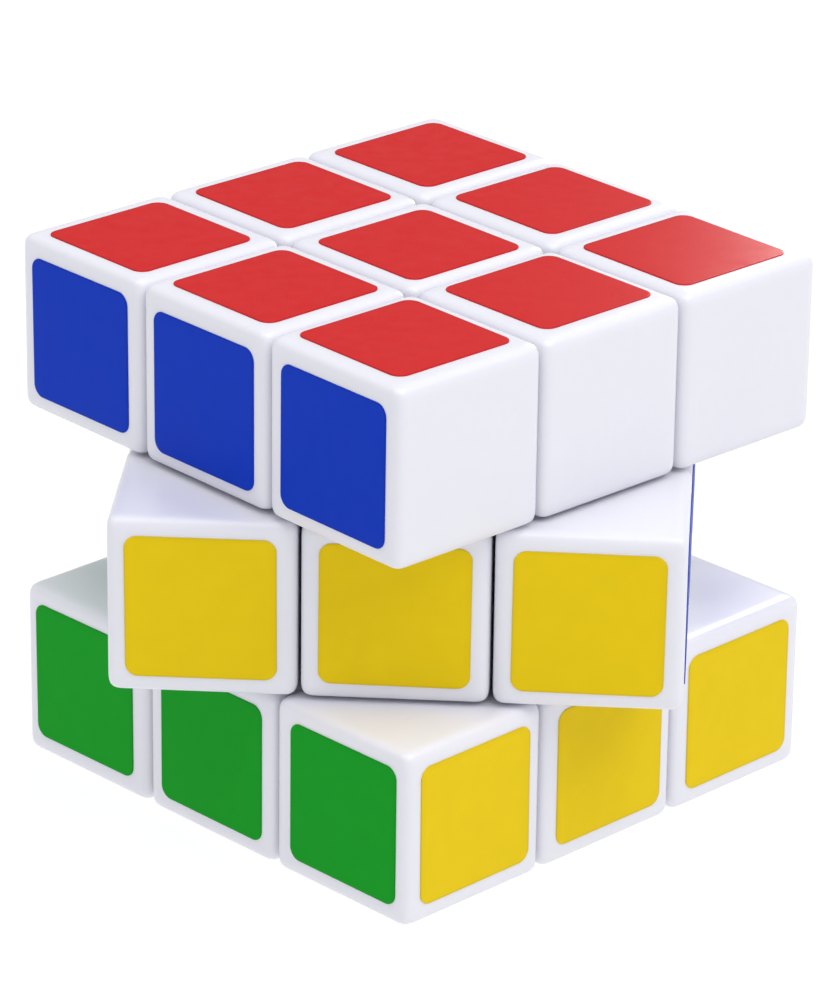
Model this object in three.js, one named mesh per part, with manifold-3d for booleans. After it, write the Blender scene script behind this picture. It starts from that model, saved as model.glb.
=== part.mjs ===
// A 3x3x3 twisty puzzle cube with its whole turning mechanism, in millimetres, +Z up.
//
// The origin is the middle of the underside, on the turning axis of the top and bottom layers.
// The middle layer is square to X and Y. The top and bottom layers are stored part-way through a turn.
//
// A sphere about the cube's centre splits every piece into an outer cubie and the foot under it.
// Outside the sphere the layers part at the visible seam. Inside it they part nearer to the centre, so
// that a corner's foot reaches under its three edges, and an edge's foot under its two centres. Each cut
// is a surface of revolution about the axis of its layer, so the layer turns in it.
import * as THREE from "three";
import { RoundedBoxGeometry } from "three/addons/geometries/RoundedBoxGeometry.js";
import { mergeVertices } from "three/addons/utils/BufferGeometryUtils.js";
import Module from "manifold-3d";

// Driving dimensions
const CUBE = 57; // across two opposite faces
const GAP = 0.3; // clearance between neighbouring pieces
const SPHERE_GAP = 0.8; // clearance at the spheres that pieces slide on, which are faceted
const EDGE_RADIUS = 1.3; // rounding of a cubie's outer edges
const WALL = 1.6; // moulded wall
const TOP_TWIST = 226.3; // degrees that the top layer is turned from solved, about +Z
const BOTTOM_TWIST = 48; // degrees that the bottom layer is turned from solved, about +Z

// The cuts
const PITCH = CUBE / 3;
const FACE = CUBE / 2; // from the centre to an outer face
const OUTER_CUT = PITCH / 2; // from the centre to the visible seam
const FOOT_CUT = 6.8; // from the centre to the seam inside the sphere
const FOOT_SPHERE = 20;
const HALF_GAP = GAP / 2;
const CUBIE_SPHERE = FOOT_SPHERE + SPHERE_GAP / 2; // the hollow underside of the outer cubies
const FOOT_TOP_SPHERE = FOOT_SPHERE - SPHERE_GAP / 2;
const CUBIE = PITCH - GAP;

// The hardware on each of the six arms, measured outwards from the cube's centre
const CORE_BALL_RADIUS = 7.2;
const ARM_RADIUS = 3.3;
const ARM_END = 9;
const SCREW_TIP = 4;
const SCREW_RADIUS = 1.3;
const SCREW_HOLE_RADIUS = 1.6;
const STEM_FLOOR_THICKNESS = 1.9;
const STEM_HOLE_RADIUS = 1.75;
const SPRING_BORE_RADIUS = 3.1;
const SPRING_WIRE_RADIUS = 0.36;
const SPRING_RADIUS = 2.2; // to the middle of the wire
const SPRING_TURNS = 4;
const SPRING_LENGTH = 6.9;
const WASHER_RADIUS = 2.8;
const WASHER_THICKNESS = 0.5;
const HEAD_RADIUS = 2.7;
const HEAD_HEIGHT = 2;
const HEAD_CHAMFER = 0.7;
const RECESS_LENGTH = 3.4;
const RECESS_WIDTH = 0.7;
const RECESS_DEPTH = 1.1;
const STEM_END = ARM_END + GAP;
const STEM_FLOOR = STEM_END + STEM_FLOOR_THICKNESS;
const SPRING_START = STEM_FLOOR + GAP;
const WASHER_START = SPRING_START + SPRING_LENGTH + GAP;
const HEAD_START = WASHER_START + WASHER_THICKNESS + GAP;

// The centre and its cap
const HUB_RADIUS = 4.4;
const HUB_END = 23.4;
const CAP_THICKNESS = 3.7; // from the seam of the cap to the outer face
const CAP_FACE_THICKNESS = 2;
const CAP_RING_DEPTH = 2; // how far the cap's ring reaches into the centre
const CAP_RING_WALL = 1.2;
const CAP_SEAM = FACE - CAP_THICKNESS;

// The hollows of the edges and corners
const EDGE_HOLLOW = 15.6; // start of an edge's hollow along each of its two axes
const CORE_OUT_RADIUS = 2;
const SHELL_SPHERE = 21.6; // where a corner's shell meets its foot
const SHELL_HOLLOW = 13.9; // start of a corner's hollow along each axis
const PEG_RADIUS = 2.4;
const PEG_END = 27;

// Facets
const SPHERE_DETAIL = 2;
const EDGE_SEGMENTS = 1;
const ROUND_SEGMENTS = 12; // of the core, screws, washers and hubs
const HOLE_SEGMENTS = 8; // of the moulding holes and pegs
const WIRE_SIDES = 5;
const STEPS_PER_TURN = 8;

const BIG = 2 * CUBE; // larger than anything here, for half spaces
const MERGE_DISTANCE = 1e-4;
const X = new THREE.Vector3(1, 0, 0);
const Y = new THREE.Vector3(0, 1, 0);
const Z = new THREE.Vector3(0, 0, 1);
const DIAGONAL = new THREE.Vector3(1, 1, 1).normalize();
const EDGE_DIAGONAL = new THREE.Vector3(1, 1, 0).normalize();

const wasm = await Module();
wasm.setup();

// A three.js geometry as a solid that can be joined and cut
function solid(geometry) {
  const bare = geometry.index ? geometry.toNonIndexed() : geometry.clone();
  bare.deleteAttribute("normal");
  bare.deleteAttribute("uv");
  const merged = mergeVertices(bare, MERGE_DISTANCE);
  const mesh = new wasm.Mesh({
    numProp: 3,
    vertProperties: merged.attributes.position.array,
    triVerts: new Uint32Array(merged.index.array),
  });
  return new wasm.Manifold(mesh);
}

// A solid as a flat-shaded three.js geometry
function geometryOf(made) {
  const mesh = made.getMesh();
  const geometry = new THREE.BufferGeometry()
    .setAttribute("position", new THREE.BufferAttribute(mesh.vertProperties, 3))
    .setIndex(new THREE.BufferAttribute(mesh.triVerts, 1))
    .toNonIndexed();
  geometry.computeVertexNormals();
  return geometry;
}

// A box between two corners
function box(low, high) {
  const size = high.map((top, axis) => top - low[axis]);
  const middle = high.map((top, axis) => (top + low[axis]) / 2);
  return solid(new THREE.BoxGeometry(...size).translate(...middle));
}

// A box with rounded edges between two corners
function roundedBox(low, high) {
  const size = high.map((top, axis) => top - low[axis]);
  const middle = high.map((top, axis) => (top + low[axis]) / 2);
  const geometry = new RoundedBoxGeometry(...size, EDGE_SEGMENTS, EDGE_RADIUS);
  return solid(geometry.translate(...middle));
}

function sphere(radius) {
  return solid(new THREE.IcosahedronGeometry(radius, SPHERE_DETAIL));
}

// A cylinder along a direction from the cube's centre, between two distances from it
function rod(direction, radius, start, end, segments = ROUND_SEGMENTS) {
  const geometry = new THREE.CylinderGeometry(radius, radius, end - start, segments);
  geometry.translate(0, (start + end) / 2, 0);
  geometry.applyQuaternion(new THREE.Quaternion().setFromUnitVectors(Y, direction));
  return solid(geometry);
}

// The part of space between two distances along one axis
function slab(axis, low, high) {
  const from = [-BIG, -BIG, -BIG];
  const to = [BIG, BIG, BIG];
  from[axis] = low;
  to[axis] = high;
  return box(from, to);
}

// What turns with the layer on the positive side of an axis
function insideLayer(axis) {
  const feet = slab(axis, FOOT_CUT + HALF_GAP, BIG).intersect(sphere(FOOT_TOP_SPHERE));
  return slab(axis, OUTER_CUT + HALF_GAP, BIG).add(feet);
}

// What stays between the two layers of an axis
function betweenLayers(axis) {
  const cubies = slab(axis, HALF_GAP - OUTER_CUT, OUTER_CUT - HALF_GAP).subtract(sphere(CUBIE_SPHERE));
  return slab(axis, HALF_GAP - FOOT_CUT, FOOT_CUT - HALF_GAP).add(cubies);
}

// Rounds a piece's outer cubie and leaves its foot as it is
function roundCubie(piece, low, high) {
  const cubie = piece.intersect(roundedBox(low, high));
  return cubie.add(piece.intersect(sphere(FOOT_TOP_SPHERE)));
}

// The span of a cubie along one axis: at the outside of the cube, or in the middle of it
const OUTSIDE = [OUTER_CUT + HALF_GAP, FACE];
const ACROSS = [-CUBIE / 2, CUBIE / 2];

function corner() {
  const piece = insideLayer(0).intersect(insideLayer(1)).intersect(insideLayer(2));
  const [low, high] = OUTSIDE;
  return roundCubie(piece, [low, low, low], [high, high, high]);
}

// The three-sided shell of a corner, hollow, with a socket for the peg of its foot
function cornerShell() {
  const high = FACE - WALL;
  const hollow = box([SHELL_HOLLOW, SHELL_HOLLOW, SHELL_HOLLOW], [high, high, high]);
  const socket = rod(DIAGONAL, PEG_RADIUS + GAP, FOOT_SPHERE, PEG_END, HOLE_SEGMENTS);
  return corner().subtract(sphere(SHELL_SPHERE + GAP)).subtract(hollow).subtract(socket);
}

// The foot that holds a corner under its three edges, with the peg that carries the shell
function cornerFoot() {
  const peg = rod(DIAGONAL, PEG_RADIUS, FOOT_SPHERE, PEG_END, HOLE_SEGMENTS);
  return corner().intersect(sphere(SHELL_SPHERE)).add(peg);
}

// An edge on the X and Y sides: a hollow cubie, cored out through its foot
function edge() {
  const [low, high] = OUTSIDE;
  const [left, right] = ACROSS;
  const piece = insideLayer(0).intersect(insideLayer(1)).intersect(betweenLayers(2));
  const rounded = roundCubie(piece, [low, low, left], [high, high, right]);
  const hollow = box([EDGE_HOLLOW, EDGE_HOLLOW, left + WALL], [high - WALL, high - WALL, right - WALL]);
  const coreOutEnd = EDGE_HOLLOW * Math.SQRT2 + WALL;
  const coreOut = rod(EDGE_DIAGONAL, CORE_OUT_RADIUS, FOOT_CUT, coreOutEnd, HOLE_SEGMENTS);
  return rounded.subtract(hollow).subtract(coreOut);
}

// The body of a centre on the X side, open under its cap, with a stem that turns on the screw
function center() {
  const [left, right] = ACROSS;
  const inner = right - WALL;
  const piece = insideLayer(0).intersect(betweenLayers(1)).intersect(betweenLayers(2));
  const body = roundCubie(piece, [OUTSIDE[0], left, left], [FACE, right, right]);
  return body
    .intersect(slab(0, STEM_END, CAP_SEAM - GAP))
    .subtract(box([CUBIE_SPHERE + WALL, -inner, -inner], [FACE, inner, inner]))
    .add(rod(X, HUB_RADIUS, CUBIE_SPHERE, HUB_END))
    .subtract(rod(X, SPRING_BORE_RADIUS, STEM_FLOOR, FACE))
    .subtract(rod(X, STEM_HOLE_RADIUS, ARM_END, FACE));
}

// The cap that covers the screw of a centre and carries its coloured face
function centerCap() {
  const [left, right] = ACROSS;
  const ring = right - WALL - GAP;
  const recess = ring - CAP_RING_WALL;
  const tile = roundedBox([OUTSIDE[0], left, left], [FACE, right, right]).intersect(slab(0, CAP_SEAM, BIG));
  return tile
    .add(box([CAP_SEAM - CAP_RING_DEPTH, -ring, -ring], [CAP_SEAM + WALL, ring, ring]))
    .subtract(box([OUTSIDE[0], -recess, -recess], [FACE - CAP_FACE_THICKNESS, recess, recess]));
}

// The six-armed core, with a hole in each arm for its screw
function core() {
  const arms = [X, Y, Z].map((axis) => rod(axis, ARM_RADIUS, -ARM_END, ARM_END));
  const holes = [X, Y, Z].flatMap((axis) => [
    rod(axis, SCREW_HOLE_RADIUS, SCREW_TIP - GAP, FACE),
    rod(axis, SCREW_HOLE_RADIUS, -FACE, GAP - SCREW_TIP),
  ]);
  const ball = sphere(CORE_BALL_RADIUS);
  return holes.reduce((made, hole) => made.subtract(hole), arms.reduce((made, arm) => made.add(arm), ball));
}

// A solid of revolution about X from a profile of [distance from the centre, radius] points
function turned(profile) {
  const points = profile.map(([along, radius]) => new THREE.Vector2(radius, along));
  const geometry = new THREE.LatheGeometry(points, ROUND_SEGMENTS);
  return geometry.applyQuaternion(new THREE.Quaternion().setFromUnitVectors(Y, X));
}

// A pan-head screw with a cross recess
function screw() {
  const headEnd = HEAD_START + HEAD_HEIGHT;
  const blank = turned([
    [SCREW_TIP, 0],
    [SCREW_TIP + SCREW_RADIUS, SCREW_RADIUS],
    [HEAD_START, SCREW_RADIUS],
    [HEAD_START, HEAD_RADIUS],
    [headEnd - HEAD_CHAMFER, HEAD_RADIUS],
    [headEnd, HEAD_RADIUS - HEAD_CHAMFER],
    [headEnd, 0],
  ]);
  const long = RECESS_LENGTH / 2;
  const wide = RECESS_WIDTH / 2;
  const bottom = headEnd - RECESS_DEPTH;
  return solid(blank)
    .subtract(box([bottom, -long, -wide], [FACE, long, wide]))
    .subtract(box([bottom, -wide, -long], [FACE, wide, long]));
}

// The washer between the spring and the head of the screw
function washer() {
  const end = WASHER_START + WASHER_THICKNESS;
  return solid(turned([
    [WASHER_START, STEM_HOLE_RADIUS],
    [WASHER_START, WASHER_RADIUS],
    [end, WASHER_RADIUS],
    [end, STEM_HOLE_RADIUS],
    [WASHER_START, STEM_HOLE_RADIUS],
  ]));
}

// The line of a coil spring along X, whose turns lie closer together at its ends
class SpringCurve extends THREE.Curve {
  getPoint(share, target = new THREE.Vector3()) {
    const angle = share * SPRING_TURNS * 2 * Math.PI;
    const rise = THREE.MathUtils.smootherstep(share, 0, 1);
    const travel = SPRING_LENGTH - 2 * SPRING_WIRE_RADIUS;
    const along = SPRING_START + SPRING_WIRE_RADIUS + travel * (share + rise) / 2;
    return target.set(along, SPRING_RADIUS * Math.cos(angle), SPRING_RADIUS * Math.sin(angle));
  }
}

function spring() {
  const wire = new THREE.Shape();
  for (let side = 0; side < WIRE_SIDES; side += 1) {
    const angle = (2 * Math.PI * side) / WIRE_SIDES;
    const point = [SPRING_WIRE_RADIUS * Math.cos(angle), SPRING_WIRE_RADIUS * Math.sin(angle)];
    if (side === 0) wire.moveTo(...point);
    else wire.lineTo(...point);
  }
  const steps = Math.round(SPRING_TURNS * STEPS_PER_TURN);
  return solid(new THREE.ExtrudeGeometry(wire, { steps, extrudePath: new SpringCurve() }));
}

// Materials
const plastic = (color, roughness) => new THREE.MeshStandardMaterial({ color, roughness, metalness: 0 });
const metal = (color, roughness) => new THREE.MeshStandardMaterial({ color, roughness, metalness: 1 });
const WHITE_PLASTIC = plastic(0xe9e8ee, 0.32);
const CORE_PLASTIC = plastic(0xd9dade, 0.45);
const SCREW_STEEL = metal(0xb4b6ba, 0.3);
const SPRING_STEEL = metal(0xa2a5aa, 0.35);
const WASHER_STEEL = metal(0xc2c4c8, 0.28);

// Each side of the solved cube: its colour name, and the turn that brings a piece made on the X side to it
const quarter = Math.PI / 2;
const turn = (axis, angle) => new THREE.Quaternion().setFromAxisAngle(axis, angle);
const SIDES = {
  blue: turn(Z, 0),
  white: turn(Z, quarter),
  green: turn(Z, 2 * quarter),
  yellow: turn(Z, 3 * quarter),
  red: turn(Y, -quarter),
  orange: turn(Y, quarter),
};
const AROUND = ["blue", "white", "green", "yellow"]; // the sides that the turning axis doesn't pass through

const puzzle = new THREE.Group();

// A layer's group, with its origin at the cube's centre
const layer = (twist) => {
  const group = new THREE.Group();
  group.position.z = FACE;
  group.rotation.z = THREE.MathUtils.degToRad(twist);
  puzzle.add(group);
  return group;
};
const middleLayer = layer(0);
const topLayer = layer(TOP_TWIST);
const bottomLayer = layer(BOTTOM_TWIST);

function place(group, name, geometry, material, rotation) {
  const mesh = new THREE.Mesh(geometry, material);
  mesh.name = name;
  mesh.quaternion.copy(rotation);
  group.add(mesh);
}

// The core, and on each arm a screw, a washer, a spring, a centre and its cap
const shapes = {
  core: geometryOf(core()),
  screw: geometryOf(screw()),
  washer: geometryOf(washer()),
  spring: geometryOf(spring()),
  center: geometryOf(center()),
  centerCap: geometryOf(centerCap()),
  edge: geometryOf(edge()),
  cornerShell: geometryOf(cornerShell()),
  cornerFoot: geometryOf(cornerFoot()),
};
place(middleLayer, "core", shapes.core, CORE_PLASTIC, turn(Z, 0));
for (const [color, rotation] of Object.entries(SIDES)) {
  const group = { red: topLayer, orange: bottomLayer }[color] ?? middleLayer;
  place(middleLayer, `screw_${color}_side`, shapes.screw, SCREW_STEEL, rotation);
  place(middleLayer, `washer_${color}_side`, shapes.washer, WASHER_STEEL, rotation);
  place(middleLayer, `spring_${color}_side`, shapes.spring, SPRING_STEEL, rotation);
  place(group, `center_${color}`, shapes.center, WHITE_PLASTIC, rotation);
  place(group, `center_cap_${color}`, shapes.centerCap, WHITE_PLASTIC, rotation);
}

// Four edges and, above and below, four corners in each layer
AROUND.forEach((color, step) => {
  const next = AROUND[(step + 1) % AROUND.length];
  const around = turn(Z, step * quarter);
  const upright = around.clone().multiply(turn(X, quarter));
  const inverted = around.clone().multiply(turn(X, -quarter));
  const flipped = turn(Z, (step + 1) * quarter).multiply(turn(X, 2 * quarter));
  place(middleLayer, `edge_${color}_${next}`, shapes.edge, WHITE_PLASTIC, around);
  place(topLayer, `edge_red_${color}`, shapes.edge, WHITE_PLASTIC, upright);
  place(bottomLayer, `edge_orange_${color}`, shapes.edge, WHITE_PLASTIC, inverted);
  for (const [group, end, rotation] of [[topLayer, "red", around], [bottomLayer, "orange", flipped]]) {
    place(group, `corner_shell_${end}_${color}_${next}`, shapes.cornerShell, WHITE_PLASTIC, rotation);
    place(group, `corner_foot_${end}_${color}_${next}`, shapes.cornerFoot, WHITE_PLASTIC, rotation);
  }
});

export default puzzle;
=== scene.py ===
# A white twisty puzzle cube with vinyl stickers, its top and bottom layers stopped part-way through
# a turn. Each kind of piece is made once, in millimetres about the cube's centre, on the +X side of
# a solved cube. Copies are then placed on every side and turned with their layer.
import math
import random

import bmesh
import bpy
from mathutils import Matrix, Vector


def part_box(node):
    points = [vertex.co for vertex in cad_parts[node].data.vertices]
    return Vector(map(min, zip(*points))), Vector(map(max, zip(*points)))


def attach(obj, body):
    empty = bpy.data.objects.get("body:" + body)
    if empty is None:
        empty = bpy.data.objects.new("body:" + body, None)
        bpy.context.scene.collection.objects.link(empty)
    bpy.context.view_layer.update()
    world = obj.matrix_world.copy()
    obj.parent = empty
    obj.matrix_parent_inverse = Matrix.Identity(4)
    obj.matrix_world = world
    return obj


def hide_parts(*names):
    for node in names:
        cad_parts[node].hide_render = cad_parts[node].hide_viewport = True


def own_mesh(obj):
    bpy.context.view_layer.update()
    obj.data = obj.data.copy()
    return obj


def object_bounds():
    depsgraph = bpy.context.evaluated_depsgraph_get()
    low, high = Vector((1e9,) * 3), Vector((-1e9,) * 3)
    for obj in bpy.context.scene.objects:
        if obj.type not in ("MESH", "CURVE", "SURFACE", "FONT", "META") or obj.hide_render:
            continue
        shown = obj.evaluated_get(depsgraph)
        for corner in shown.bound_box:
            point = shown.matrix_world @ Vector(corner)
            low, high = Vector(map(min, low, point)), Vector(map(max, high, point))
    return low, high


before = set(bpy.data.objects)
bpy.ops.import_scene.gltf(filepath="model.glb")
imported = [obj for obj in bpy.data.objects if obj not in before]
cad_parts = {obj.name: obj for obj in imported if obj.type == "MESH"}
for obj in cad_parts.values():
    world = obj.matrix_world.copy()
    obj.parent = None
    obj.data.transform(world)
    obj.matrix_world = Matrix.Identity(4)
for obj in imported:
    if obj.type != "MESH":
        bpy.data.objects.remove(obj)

CAD_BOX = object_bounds()
MM = 0.001
random.seed(7)


def span(node, axis):
    """Where a CAD node starts and ends along an axis, in millimetres from the cube's centre."""
    low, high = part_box(node)
    return (low[axis] - CENTER[axis]) / MM, (high[axis] - CENTER[axis]) / MM


# Sizes that the frame gives
CENTER = Vector((0, 0, (CAD_BOX[0].z + CAD_BOX[1].z) / 2))
FACE = (CAD_BOX[1].z - CENTER.z) / MM
PITCH = 2 * FACE / 3
HALF_CUBIE = span("edge_blue_white", 2)[1]
SEAM = PITCH - HALF_CUBIE  # the inner side of an outer cubie
STEM_START, CENTER_TOP = span("center_blue", 0)
CAP_RING_START = span("center_cap_blue", 0)[0]
SPRING_START, SPRING_END = span("spring_blue_side", 0)
WASHER_START, WASHER_END = span("washer_blue_side", 0)
WASHER_RADIUS = span("washer_blue_side", 1)[1]
SCREW_TIP, SCREW_END = span("screw_blue_side", 0)
HEAD_RADIUS = span("screw_blue_side", 1)[1]
ARM_END = span("core", 0)[1]

# The mechanism's other sizes
GAP = 0.3
EDGE_WIDTH = 2.0  # how far the soft edges of a cubie reach in from its corners
EDGE_SEGMENTS = 10
EDGE_FULLNESS = 0.70  # 0.5 is a quarter circle and 1 a square corner
OUTER_EDGES = (EDGE_WIDTH, EDGE_SEGMENTS, EDGE_FULLNESS)
FOOT_EDGES = (0.5, 3)  # radius and segments, as in the two below
SNAP_RING_EDGES = (0.4, 3)
CAP_POCKET_EDGES = (0.6, 3)
HOLLOW_EDGE = 1.0
WALL = 1.6
FOOT_SEAM = 6.95  # the inner side of a foot
STEM_HALF = 6.65  # half the width of a centre's stem and of an edge's foot
NECK_OVERLAP = 0.05  # how deep an edge's cubie and foot run into each other
CUBIE_SPHERE = 20.4  # the round underside of the cubies
FOOT_TOP_SPHERE = 19.6
SHELL_SPHERE = 21.9
CAP_SEAM = CENTER_TOP + GAP
CAP_FACE = 2.0
CAP_RING_WALL = 1.2
HUB_RADIUS = 4.4
HUB_END = 23.4
BORE_RADIUS = 3.1
STEM_HOLE = 1.75
CORE_OUT = 2.0
SHELL_HOLLOW = 13.9  # where a corner's hollow starts along each axis
EDGE_HOLLOW = 15.6  # where an edge's hollow starts along its two axes
NECK_SPHERE = 21.6  # where a corner's foot ends under its shell
PEG_RADIUS = 2.4
PEG_END = 27.0
ARM_RADIUS = 3.3
BALL_RADIUS = 7.2
SCREW_HOLE = 1.6
WIRE_RADIUS = 0.36
COIL_RADIUS = 2.2
THREAD_RADIUS = 1.3
THREAD_DEPTH = 0.22
THREAD_PITCH = 0.8
TIP_RADIUS = 0.15
HEAD_EDGE = 0.15
RECESS = (3.4, 0.7, 1.1)  # length, width and depth of the screw head's cross
WASHER_EDGE = 0.08
CLOSED_TURNS = 0.8  # at each end of a spring
OPEN_TURNS = 2.9
CLOSED_PITCH = 2.05 * WIRE_RADIUS
RUBBED = 0.03  # how much smoother the plastic is along its edges

# Stickers
STICKER_HALF = 7.52
STICKER_CORNER = 1.3
STICKER_THICKNESS = 0.1
STICKER_SINK = 0.03  # how deep its underside is in the plastic, so that no gap shows
STICKER_CROWN = 0.015  # how much its middle is raised
PAINTED_EDGE_SHADE_FADE = 0.3  # how far the painted shade along the sticker's edge reaches in
STICKER_SLIP = 0.06  # how far a hand-laid sticker is off the middle
STICKER_TILT = 0.35  # degrees that it is off square
WORST_SLIPS = {  # stickers plainly off the middle, by colour, column and row: across and up
    ("red", 0, 0): (0.4, -0.3), ("red", 1, 0): (-0.3, 0.3), ("red", 1, -1): (-0.3, 0.2),
    ("red", 0, 1): (-0.2, 0.2), ("red", -1, -1): (0.1, -0.3), ("red", -1, 1): (0, 0.2),
    ("blue", 1, 1): (0.3, 0), ("blue", 0, 1): (0.2, -0.1), ("yellow", -1, 0): (-0.2, 0),
    ("green", 1, -1): (0.5, 0.1), ("green", 0, -1): (0.3, 0), ("green", -1, -1): (-0.2, 0.2),
}

SIDE_TURNS = {
    "blue": Matrix.Identity(4),
    "white": Matrix.Rotation(math.radians(90), 4, "Z"),
    "green": Matrix.Rotation(math.radians(180), 4, "Z"),
    "yellow": Matrix.Rotation(math.radians(270), 4, "Z"),
    "red": Matrix.Rotation(math.radians(-90), 4, "Y"),
    "orange": Matrix.Rotation(math.radians(90), 4, "Y"),
}
AROUND = ["blue", "white", "green", "yellow"]
MIDDLE = "core_and_middle_layer"


def twist_of(corner):
    """How far a layer is turned about Z, from the place of one of its blue and white corners."""
    low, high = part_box(corner)
    middle = (low + high) / 2
    return math.atan2(middle.y, middle.x) - math.radians(45)


TWISTS = {
    "top_layer": Matrix.Rotation(twist_of("corner_shell_red_blue_white"), 4, "Z"),
    "bottom_layer": Matrix.Rotation(twist_of("corner_shell_orange_blue_white"), 4, "Z"),
    MIDDLE: Matrix.Identity(4),
}


# ---------------------------------------------------------------- mesh tools

def mesh_of(made, name):
    """Turns a bmesh into a mesh."""
    mesh = bpy.data.meshes.new(name)
    bmesh.ops.recalc_face_normals(made, faces=made.faces)
    made.to_mesh(mesh)
    made.free()
    return mesh


def block(low, high, radius=0.0, segments=6, fullness=0.5):
    """A box between two corners, with soft edges and a narrow flat border inside each face."""
    made = bmesh.new()
    bmesh.ops.create_cube(made, size=1)
    bmesh.ops.scale(made, vec=Vector(high) - Vector(low), verts=made.verts)
    bmesh.ops.translate(made, vec=(Vector(low) + Vector(high)) / 2, verts=made.verts)
    if radius:
        bmesh.ops.bevel(
            made, geom=made.edges[:], offset=radius, offset_type="OFFSET",
            segments=segments, profile=fullness, affect="EDGES",
        )
        flats = sorted(made.faces, key=lambda face: face.calc_area())[-6:]
        bmesh.ops.inset_individual(made, faces=flats, thickness=radius / 10)
    return mesh_of(made, "block")


def ball(radius, subdivisions=4):
    made = bmesh.new()
    bmesh.ops.create_icosphere(made, subdivisions=subdivisions, radius=radius)
    return mesh_of(made, "ball")


def rod(direction, radius, start, end, segments=40):
    """A cylinder along a direction from the cube's centre, between two distances from it."""
    made = bmesh.new()
    turn = Vector((0, 0, 1)).rotation_difference(Vector(direction)).to_matrix().to_4x4()
    place = turn @ Matrix.Translation((0, 0, (start + end) / 2))
    bmesh.ops.create_cone(
        made, cap_ends=True, segments=segments, radius1=radius, radius2=radius,
        depth=end - start, matrix=place,
    )
    return mesh_of(made, "rod")


def combined(base, operation, *others):
    """Joins, cuts or intersects a mesh with others, one after another."""
    for other in others:
        holder, tool = (bpy.data.objects.new("working", mesh) for mesh in (base, other))
        for working in (holder, tool):
            bpy.context.scene.collection.objects.link(working)
        change = holder.modifiers.new("boolean", "BOOLEAN")
        change.operation = operation
        change.solver = "EXACT"
        change.object = tool
        shape = holder.evaluated_get(bpy.context.evaluated_depsgraph_get())
        base = bpy.data.meshes.new_from_object(shape)
        for working in (holder, tool):
            bpy.data.objects.remove(working)
    return base


def grid_of_rings(rings, close_ends=True, wrap_rings=False):
    """A surface through equal rings of points, closed at its ends or back to its first ring."""
    made = bmesh.new()
    rows = [[made.verts.new(point) for point in ring] for ring in rings]
    pairs = list(zip(rows, rows[1:])) + ([(rows[-1], rows[0])] if wrap_rings else [])
    for first, second in pairs:
        for index in range(len(first)):
            after = (index + 1) % len(first)
            made.faces.new((first[index], first[after], second[after], second[index]))
    if close_ends:
        made.faces.new(rows[0])
        made.faces.new(rows[-1])
    return mesh_of(made, "rings")


def ring_about_x(along, radius, segments=48):
    angles = [2 * math.pi * step / segments for step in range(segments)]
    return [Vector((along, radius * math.cos(a), radius * math.sin(a))) for a in angles]


def round_profile(points, radius, steps=4):
    """Replaces the inner corners of an open profile of (distance, radius) points by arcs."""
    made = [Vector(points[0])]
    for before, corner, after in zip(points, points[1:], points[2:]):
        corner = Vector(corner)
        start = corner + (Vector(before) - corner).normalized() * radius
        end = corner + (Vector(after) - corner).normalized() * radius
        for step in range(steps + 1):
            share = step / steps
            made.append(start.lerp(corner, share).lerp(corner.lerp(end, share), share))
    made.append(Vector(points[-1]))
    return made


# ---------------------------------------------------------------- materials

class Finish:
    """Builds one procedural material, its patterns placed in the part's own metres."""

    def __init__(self, name):
        self.material = bpy.data.materials.new(name)
        self.material.use_nodes = True
        self.tree = self.material.node_tree
        self.shader = self.tree.nodes["Principled BSDF"]
        self.place = self.node("ShaderNodeTexCoord").outputs["Object"]

    def node(self, kind, **settings):
        made = self.tree.nodes.new(kind)
        for key, value in settings.items():
            setattr(made, key, value)
        return made

    def feed(self, source, target):
        self.tree.links.new(source, target)

    def noise(self, size_mm, detail=2.0, stretch=(1, 1, 1)):
        """Smooth noise whose blotches are about size_mm across."""
        mapping = self.node("ShaderNodeMapping")
        mapping.inputs["Scale"].default_value = [1 / (size_mm * MM * along) for along in stretch]
        noise = self.node("ShaderNodeTexNoise")
        noise.inputs["Scale"].default_value = 1
        noise.inputs["Detail"].default_value = detail
        self.feed(self.place, mapping.inputs["Vector"])
        self.feed(mapping.outputs["Vector"], noise.inputs["Vector"])
        return noise.outputs["Fac"]

    def ranged(self, value, low, high, start=0.3, end=0.7):
        node = self.node("ShaderNodeMapRange")
        numbers = {"From Min": start, "From Max": end, "To Min": low, "To Max": high}
        for name, number in numbers.items():
            node.inputs[name].default_value = number
        self.feed(value, node.inputs["Value"])
        return node.outputs["Result"]

    def math(self, operation, first, second):
        node = self.node("ShaderNodeMath", operation=operation)
        for socket, value in zip(node.inputs, (first, second)):
            if isinstance(value, (int, float)):
                socket.default_value = value
            else:
                self.feed(value, socket)
        return node.outputs["Value"]

    def mixed(self, factor, first, second):
        """A colour between two, each a colour or another node's output."""
        node = self.node("ShaderNodeMix", data_type="RGBA")
        self.feed(factor, node.inputs["Factor"])
        for socket, color in ((node.inputs[6], first), (node.inputs[7], second)):
            if isinstance(color, tuple):
                socket.default_value = (*color, 1)
            else:
                self.feed(color, socket)
        return node.outputs[2]

    def bump(self, height, depth_mm):
        node = self.node("ShaderNodeBump")
        node.inputs["Strength"].default_value = 1
        node.inputs["Distance"].default_value = depth_mm * MM
        self.feed(height, node.inputs["Height"])
        self.feed(node.outputs["Normal"], self.shader.inputs["Normal"])

    def set(self, **values):
        for name, value in values.items():
            self.shader.inputs[name.replace("_", " ")].default_value = value
        return self

    def color(self, source):
        self.feed(source, self.shader.inputs["Base Color"])

    def roughness(self, source):
        self.feed(source, self.shader.inputs["Roughness"])


def shaded(color, share):
    return tuple(channel * share for channel in color)


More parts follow.
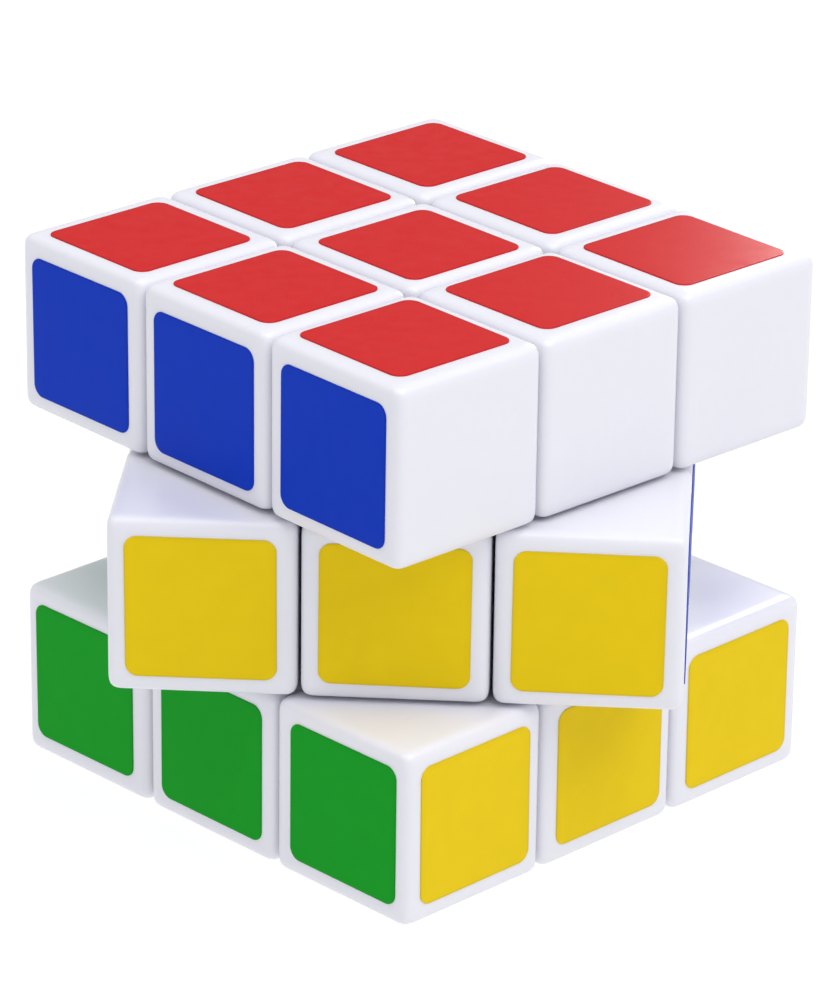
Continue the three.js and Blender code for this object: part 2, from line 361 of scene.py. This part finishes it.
def moulded_plastic(name, color, low, high, grain_mm, translucence):
    """Injection-moulded plastic: faint flow tone, fine grain, slow sink marks and polished edges."""
    finish = Finish(name)
    finish.set(IOR=1.53, Subsurface_Weight=translucence, Subsurface_Scale=1.2 * MM)
    finish.shader.inputs["Subsurface Radius"].default_value = (1.0, 0.9, 0.85)
    tone = finish.ranged(finish.noise(7, 3), 0, 1)
    fleck = finish.ranged(finish.noise(0.9, 2), 0, 1)
    darker = shaded(color, 0.985)
    finish.color(finish.mixed(fleck, finish.mixed(tone, color, darker), darker))
    handled = finish.ranged(finish.noise(3, 3), low, high)
    pointed = finish.node("ShaderNodeNewGeometry").outputs["Pointiness"]
    rubbed = finish.ranged(pointed, 0, RUBBED, 0.5, 0.56)
    finish.roughness(finish.math("SUBTRACT", handled, rubbed))
    grain = finish.math("MULTIPLY", finish.noise(grain_mm, 3), 0.06)
    sink = finish.math("MULTIPLY", finish.noise(9, 1), 1)
    finish.bump(finish.math("ADD", grain, sink), 0.02)
    return finish.material


def vinyl(name, color):
    """Printed vinyl: a satin face with fine peel, hairline scratches and painted shade darkening it along
    its cut edge.
    """
    finish = Finish(name)
    finish.set(IOR=1.42, Specular_IOR_Level=0.08)
    tone = finish.ranged(finish.noise(2.5, 5), 0, 1)
    face = finish.mixed(tone, color, shaded(color, 0.97))
    # Painted shade: the colour darkens towards the sticker's edge in place of the shade its thickness casts.
    painted_edge_shade = finish.node("ShaderNodeAttribute", attribute_name="painted_edge_shade").outputs["Fac"]
    finish.color(finish.mixed(finish.math("MULTIPLY", painted_edge_shade, 0.5), face, shaded(color, 0.72)))
    scratch = finish.ranged(finish.noise(0.12, 3, (1, 40, 1)), 0, 0.12, 0.62, 0.75)
    other = finish.ranged(finish.noise(0.12, 3, (40, 1, 3)), 0, 0.12, 0.64, 0.77)
    worn = finish.ranged(finish.noise(1.8, 4), 0.34, 0.46)
    finish.roughness(finish.math("ADD", worn, finish.math("ADD", scratch, other)))
    peel = finish.math("MULTIPLY", finish.noise(0.45, 2), 0.3)
    slow = finish.math("MULTIPLY", finish.noise(6, 1), 1)
    finish.bump(finish.math("ADD", peel, slow), 0.005)
    return finish.material


def steel(name, color, low, high, stretch):
    """Plated steel with drawn or turned marks and a few dull spots."""
    finish = Finish(name)
    finish.set(Metallic=1.0)
    spots = finish.ranged(finish.noise(0.8, 4), 0, 1, 0.5, 0.75)
    finish.color(finish.mixed(spots, color, shaded(color, 0.82)))
    marks = finish.noise(0.08, 2, stretch)
    finish.roughness(finish.ranged(marks, low, high))
    finish.bump(marks, 0.004)
    return finish.material


FINISHES = {
    "white_plastic": moulded_plastic("white_plastic_moulded", (0.80, 0.80, 0.865), 0.31, 0.38, 0.25, 0.2),
    "core_plastic": moulded_plastic("core_plastic_moulded", (0.62, 0.63, 0.66), 0.42, 0.55, 0.4, 0.1),
    "screw_steel": steel("screw_steel_plated", (0.62, 0.63, 0.66), 0.22, 0.38, (12, 1, 1)),
    "washer_steel": steel("washer_steel_rolled", (0.70, 0.71, 0.73), 0.25, 0.4, (1, 14, 1)),
    "spring_steel": steel("spring_steel_drawn", (0.50, 0.51, 0.54), 0.28, 0.42, (1, 1, 10)),
    "red_vinyl": vinyl("red_vinyl_satin", (0.60, 0.017, 0.017)),
    "orange_vinyl": vinyl("orange_vinyl_satin", (0.87, 0.16, 0.012)),
    "blue_vinyl": vinyl("blue_vinyl_satin", (0.001, 0.038, 0.50)),
    "green_vinyl": vinyl("green_vinyl_satin", (0.0015, 0.325, 0.013)),
    "yellow_vinyl": vinyl("yellow_vinyl_satin", (0.80, 0.575, 0.007)),
}


# ---------------------------------------------------------------- pieces

def corner_shell():
    """A corner's shell: hollow, open over its foot, with a socket for the foot's peg."""
    hollow = block((SHELL_HOLLOW,) * 3, (FACE - WALL,) * 3, HOLLOW_EDGE)
    socket = rod((1, 1, 1), PEG_RADIUS + GAP, CUBIE_SPHERE, PEG_END)
    outside = block((SEAM,) * 3, (FACE,) * 3, *OUTER_EDGES)
    return combined(outside, "DIFFERENCE", ball(SHELL_SPHERE), hollow, socket)


def corner_foot():
    """A corner's foot: it reaches under its three edges, and its peg carries the shell."""
    under = block((FOOT_SEAM,) * 3, (CUBIE_SPHERE,) * 3, *FOOT_EDGES)
    foot = combined(under, "INTERSECT", ball(FOOT_TOP_SPHERE))
    neck = combined(block((SEAM,) * 3, (FACE,) * 3, *FOOT_EDGES), "INTERSECT", ball(NECK_SPHERE))
    peg = rod((1, 1, 1), PEG_RADIUS, FOOT_TOP_SPHERE, PEG_END)
    return combined(foot, "UNION", neck, peg)


def edge():
    """An edge: a hollow cubie over the foot that reaches under its two centres."""
    high = FACE - WALL
    half = HALF_CUBIE - WALL
    across = FACE
    neck = STEM_HALF - NECK_OVERLAP
    under = combined(
        ball(CUBIE_SPHERE), "DIFFERENCE",
        block((-across, -across, -neck), (across, across, neck)),
    )
    outside = block((SEAM, SEAM, -HALF_CUBIE), (FACE, FACE, HALF_CUBIE), *OUTER_EDGES)
    cubie = combined(outside, "DIFFERENCE", under)
    foot_low = (FOOT_SEAM, FOOT_SEAM, -STEM_HALF)
    foot_high = (CUBIE_SPHERE, CUBIE_SPHERE, STEM_HALF)
    foot = combined(block(foot_low, foot_high, *FOOT_EDGES), "INTERSECT", ball(FOOT_TOP_SPHERE))
    hollow = block((EDGE_HOLLOW, EDGE_HOLLOW, -half), (high, high, half), HOLLOW_EDGE)
    core_out = rod((1, 1, 0), CORE_OUT, FOOT_SEAM, FACE)
    return combined(combined(cubie, "UNION", foot), "DIFFERENCE", hollow, core_out)


def center_body():
    """A centre's body: open under its cap, on a square stem that turns on the screw."""
    half = HALF_CUBIE
    inner = half - WALL
    outer = 2 * FACE
    above = block((CENTER_TOP, -outer, -outer), (outer, outer, outer))
    room_inside = block((CUBIE_SPHERE + WALL, -inner, -inner), (FACE, inner, inner), HOLLOW_EDGE, 3)
    tile = combined(
        block((SEAM, -half, -half), (FACE + PITCH, half, half), *OUTER_EDGES),
        "DIFFERENCE", above, ball(CUBIE_SPHERE), room_inside,
    )
    stem_low = (STEM_START, -STEM_HALF, -STEM_HALF)
    stem = block(stem_low, (CUBIE_SPHERE + WALL / 2, STEM_HALF, STEM_HALF), *FOOT_EDGES)
    hub = rod((1, 0, 0), HUB_RADIUS, CUBIE_SPHERE, HUB_END)
    bore = rod((1, 0, 0), BORE_RADIUS, SPRING_START - GAP, FACE)
    hole = rod((1, 0, 0), STEM_HOLE, ARM_END, FACE)
    return combined(combined(tile, "UNION", stem, hub), "DIFFERENCE", bore, hole)


def center_cap():
    """The cap over a centre's screw, with the ring that snaps into the centre."""
    half = HALF_CUBIE
    ring = half - WALL - GAP
    recess = ring - CAP_RING_WALL
    tile = combined(
        block((SEAM, -half, -half), (FACE, half, half), *OUTER_EDGES),
        "DIFFERENCE", block((0, -FACE, -FACE), (CAP_SEAM, FACE, FACE)),
    )
    snap = block((CAP_RING_START, -ring, -ring), (CAP_SEAM + WALL, ring, ring), *SNAP_RING_EDGES)
    pocket = block((SEAM, -recess, -recess), (FACE - CAP_FACE, recess, recess), *CAP_POCKET_EDGES)
    return combined(combined(tile, "UNION", snap), "DIFFERENCE", pocket)


def core():
    """The six-armed core."""
    directions = [(1, 0, 0), (0, 1, 0), (0, 0, 1)]
    arms = [rod(along, ARM_RADIUS, -ARM_END, ARM_END) for along in directions]
    holes = []
    for along in directions:
        holes.append(rod(along, SCREW_HOLE, SCREW_TIP - GAP, FACE))
        holes.append(rod(along, SCREW_HOLE, -FACE, GAP - SCREW_TIP))
    return combined(combined(ball(BALL_RADIUS), "UNION", *arms), "DIFFERENCE", *holes)


def screw():
    """A pan-head screw with a rolled thread and a cross recess."""
    segments = 48
    head_start = WASHER_END + GAP
    tip_end = SCREW_TIP + THREAD_RADIUS
    steps = round((ARM_END - tip_end) / THREAD_PITCH * 12)
    rings = [ring_about_x(SCREW_TIP, TIP_RADIUS, segments)]
    for step in range(steps + 1):
        along = tip_end + (ARM_END - tip_end) * step / steps
        ring = []
        for index in range(segments):
            angle = 2 * math.pi * index / segments
            phase = (along / THREAD_PITCH - index / segments) % 1
            radius = THREAD_RADIUS - THREAD_DEPTH * 2 * min(phase, 1 - phase)
            ring.append(Vector((along, radius * math.cos(angle), radius * math.sin(angle))))
        rings.append(ring)
    shank = THREAD_RADIUS - THREAD_DEPTH
    head = round_profile(
        [(ARM_END + GAP, shank), (head_start, shank), (head_start, HEAD_RADIUS),
         (SCREW_END, HEAD_RADIUS), (SCREW_END, 2 * HEAD_EDGE)], HEAD_EDGE,
    )
    rings += [ring_about_x(along, radius, segments) for along, radius in head]
    length, width, depth = RECESS
    bottom = SCREW_END - depth
    arms = [
        block((bottom, -length / 2, -width / 2), (FACE, length / 2, width / 2)),
        block((bottom, -width / 2, -length / 2), (FACE, width / 2, length / 2)),
    ]
    return combined(grid_of_rings(rings), "DIFFERENCE", *arms)


def washer():
    """A flat washer with its stamped edges rounded."""
    outline = [
        (WASHER_START, STEM_HOLE), (WASHER_START, WASHER_RADIUS),
        (WASHER_END, WASHER_RADIUS), (WASHER_END, STEM_HOLE),
    ]
    closed = [outline[-1], *outline, outline[0]]
    profile = round_profile(closed, WASHER_EDGE)[1:-1]
    return grid_of_rings([ring_about_x(a, r, 64) for a, r in profile], False, True)


def spring():
    """A compression spring with a closed turn at each end."""
    turns = 2 * CLOSED_TURNS + OPEN_TURNS
    length = SPRING_END - SPRING_START - 2 * WIRE_RADIUS
    closed_rise = CLOSED_TURNS * CLOSED_PITCH
    open_rise = length - 2 * closed_rise
    steps = 30
    rings = []
    for step in range(round(turns * steps) + 1):
        turn = step / steps
        rise = min(turn, CLOSED_TURNS) / CLOSED_TURNS * closed_rise
        rise += min(max(turn - CLOSED_TURNS, 0), OPEN_TURNS) / OPEN_TURNS * open_rise
        rise += max(turn - CLOSED_TURNS - OPEN_TURNS, 0) / CLOSED_TURNS * closed_rise
        angle = 2 * math.pi * turn
        outward = Vector((0, math.cos(angle), math.sin(angle)))
        middle = Vector((SPRING_START + WIRE_RADIUS + rise, 0, 0)) + outward * COIL_RADIUS
        along = Vector((1, 0, 0))
        sides = [2 * math.pi * side / 12 for side in range(12)]
        rings.append([
            middle + WIRE_RADIUS * (outward * math.cos(side) + along * math.sin(side)) for side in sides
        ])
    return grid_of_rings(rings)


def sticker():
    """A vinyl sticker on the +X side, with rounded corners and a softened cut edge."""
    def outline(inset, height):
        half = STICKER_HALF - inset
        radius = max(STICKER_CORNER - inset, 0.2)
        ring = []
        for quarter in range(4):
            start = math.radians(90 * quarter)
            across = math.cos(start) - math.sin(start)
            up = math.sin(start) + math.cos(start)
            for step in range(9):
                angle = math.radians(90 * quarter + 90 * step / 8)
                y = across * (half - radius) + radius * math.cos(angle)
                z = up * (half - radius) + radius * math.sin(angle)
                ring.append(Vector((FACE + height, y, z)))
        return ring

    top = STICKER_THICKNESS
    soft = top / 3
    levels = [  # how far in from the edge, and how far above the plastic
        (0, -STICKER_SINK), (0, top - soft), (soft * 0.3, top - soft * 0.3), (soft, top),
        (0.25, top), (0.8, top + STICKER_CROWN * 2 / 3), (3, top + STICKER_CROWN),
    ]
    mesh = grid_of_rings([outline(inset, height) for inset, height in levels])
    # Painted shade along the edge: 1 at the cut edge, fading to 0 further in.
    painted_edge_shade = mesh.attributes.new("painted_edge_shade", "FLOAT", "POINT")
    for vertex, value in zip(mesh.vertices, painted_edge_shade.data):
        depth = STICKER_HALF - max(abs(vertex.co.y), abs(vertex.co.z))
        value.value = max(0.0, 1 - depth / PAINTED_EDGE_SHADE_FADE)
    return mesh


# ---------------------------------------------------------------- placing

def placed(shape, name, matrix, body, slot, nodes=()):
    """Puts a copy of a shape where matrix says, and hands it to a body."""
    mesh = shape.copy()
    mesh.transform(Matrix.Translation(CENTER) @ Matrix.Scale(MM, 4) @ matrix)
    mesh.shade_smooth()
    mesh.set_sharp_from_angle(angle=math.radians(35))
    mesh.materials.clear()
    mesh.materials.append(FINISHES[slot])
    piece = bpy.data.objects.new(name, mesh)
    bpy.context.scene.collection.objects.link(piece)
    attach(piece, body)
    if nodes:
        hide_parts(*nodes)
    return piece


def place_sides():
    """On each side a screw, a washer, a spring, a centre and its cap."""
    makers = {"screw": screw, "washer": washer, "spring": spring, "body": center_body, "cap": center_cap}
    shapes = {kind: make() for kind, make in makers.items()}
    for color, turn in SIDE_TURNS.items():
        layer = {"red": "top_layer", "orange": "bottom_layer"}.get(color, MIDDLE)
        for kind in ("screw", "washer", "spring"):
            node = f"{kind}_{color}_side"
            piece = placed(shapes[kind], f"{node}_steel", turn, MIDDLE, f"{kind}_steel", [node])
            if kind == "spring":
                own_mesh(piece)
        turned = TWISTS[layer] @ turn
        for kind, node in (("body", f"center_{color}"), ("cap", f"center_cap_{color}")):
            placed(shapes[kind], f"{node}_moulding", turned, f"{color}_center", "white_plastic", [node])


def place_edges_and_corners():
    """For each side round the cube: an edge in every layer, and the corners at its end."""
    edge_shape, shell_shape, foot_shape = edge(), corner_shell(), corner_foot()
    for step, color in enumerate(AROUND):
        following = AROUND[(step + 1) % 4]
        around = SIDE_TURNS[color]
        upwards = around @ Matrix.Rotation(math.pi / 2, 4, "X")
        downwards = around @ Matrix.Rotation(-math.pi / 2, 4, "X")
        flipped = SIDE_TURNS[following] @ Matrix.Rotation(math.pi, 4, "X")
        places = [
            (edge_shape, f"edge_{color}_{following}", MIDDLE, around),
            (edge_shape, f"edge_red_{color}", "top_layer", upwards),
            (edge_shape, f"edge_orange_{color}", "bottom_layer", downwards),
            (shell_shape, f"corner_shell_red_{color}_{following}", "top_layer", around),
            (shell_shape, f"corner_shell_orange_{color}_{following}", "bottom_layer", flipped),
            (foot_shape, f"corner_foot_red_{color}_{following}", "top_layer", around),
            (foot_shape, f"corner_foot_orange_{color}_{following}", "bottom_layer", flipped),
        ]
        for shape, node, layer, turn in places:
            placed(shape, f"{node}_moulding", TWISTS[layer] @ turn, layer, "white_plastic", [node])


def sticker_place(color, column, row):
    """The body that a sticker rides on, and the layer that turns it. Columns and rows are -1, 0 or 1."""
    if color in ("red", "orange"):
        layer = "top_layer" if color == "red" else "bottom_layer"
    else:
        layer = {1: "top_layer", 0: MIDDLE, -1: "bottom_layer"}[row]
    body = f"{color}_center" if (column, row) == (0, 0) else layer
    return body, layer


def place_stickers():
    """Nine stickers on each side but the white one."""
    shape = sticker()
    for color in ("red", "orange", "blue", "green", "yellow"):
        for number in range(9):
            column, row = number % 3 - 1, number // 3 - 1
            body, layer = sticker_place(color, column, row)
            worst = WORST_SLIPS.get((color, column, row), (0, 0))
            slip = [random.uniform(-STICKER_SLIP, STICKER_SLIP) + plain for plain in worst]
            tilt = math.radians(random.uniform(-STICKER_TILT, STICKER_TILT))
            shift = Matrix.Translation((0, column * PITCH + slip[0], row * PITCH + slip[1]))
            turn = TWISTS[layer] @ SIDE_TURNS[color] @ shift @ Matrix.Rotation(tilt, 4, "X")
            placed(shape, f"sticker_{color}_{number + 1}", turn, body, f"{color}_vinyl")


placed(core(), "core_moulding", Matrix.Identity(4), MIDDLE, "core_plastic", ["core"])
place_sides()
place_edges_and_corners()
place_stickers()


# ---------------------------------------------------------------- studio

FLOOR_DROP = STICKER_THICKNESS + 0.03  # how far the floor is under the plastic
FLOOR_GLOW = 0.86
LIGHT_DISTANCE = 1.2  # metres, as are the other sizes here


def floor():
    """A wide white light table under the cube."""
    made = bmesh.new()
    bmesh.ops.create_grid(made, x_segments=1, y_segments=1, size=3)
    bmesh.ops.translate(made, vec=(0, 0, CAD_BOX[0].z - FLOOR_DROP * MM), verts=made.verts)
    finish = Finish("floor_paper")
    finish.color(finish.mixed(finish.noise(40, 3), (0.20, 0.20, 0.20), (0.18, 0.18, 0.185)))
    finish.set(Roughness=0.9, Specular_IOR_Level=0.1, Emission_Strength=FLOOR_GLOW)
    mesh = mesh_of(made, "floor")
    mesh.materials.append(finish.material)
    piece = bpy.data.objects.new("floor", mesh)
    bpy.context.scene.collection.objects.link(piece)


def direction(azimuth, elevation):
    """The way out from the cube, in degrees. Azimuth 0 is the front and 90 the +X side."""
    a, e = math.radians(azimuth), math.radians(elevation)
    return Vector((math.sin(a) * math.cos(e), -math.cos(a) * math.cos(e), math.sin(e)))


def softbox(name, azimuth, elevation, distance, size, power):
    """A square area light that faces the cube."""
    away = direction(azimuth, elevation)
    data = bpy.data.lights.new(name, "AREA")
    data.shape = "SQUARE"
    data.size = size
    data.energy = power
    light = bpy.data.objects.new(name, data)
    light.location = CENTER + away * distance
    light.rotation_mode = "QUATERNION"
    light.rotation_quaternion = (-away).to_track_quat("-Z", "Y")
    light.visible_camera = False
    bpy.context.scene.collection.objects.link(light)
    return light


def room(strength):
    world = bpy.data.worlds.new("studio")
    world.use_nodes = True
    world.node_tree.nodes["Background"].inputs["Color"].default_value = (0.97, 0.975, 1.0, 1)
    world.node_tree.nodes["Background"].inputs["Strength"].default_value = strength
    bpy.context.scene.world = world


def camera():
    """A long lens, a little above the cube and a little to its right, leaning by less than a degree."""
    azimuth, elevation, lean = 3.55, 23.03, math.radians(0.74)
    distance = 0.5437
    aim_right, aim_up = 0.0002, 0.0003
    back = direction(azimuth, elevation)
    level = direction(azimuth + 90, 0)
    upright = back.cross(level)
    right = level * math.cos(lean) + upright * math.sin(lean)
    up = back.cross(right)
    data = bpy.data.cameras.new("camera")
    data.lens = 190
    data.sensor_width = 36
    data.clip_start, data.clip_end = 0.05, 20
    made = bpy.data.objects.new("camera", data)
    turn = Matrix((right, up, back)).transposed().to_4x4()
    made.matrix_world = Matrix.Translation(CENTER + right * aim_right + up * aim_up + back * distance) @ turn
    bpy.context.scene.collection.objects.link(made)
    bpy.context.scene.camera = made


floor()
softbox("key", 60, 60, LIGHT_DISTANCE, 1.0, 8.5)
softbox("fill", -70, 70, LIGHT_DISTANCE, 0.9, 3.5)
sheen = softbox("sheen", 149, 31, 0.125, 0.04, 0.07)  # a gleam on the far right of the top
sheen.visible_diffuse = False
room(0.55)
camera()
bpy.context.scene.view_settings.view_transform = "Standard"
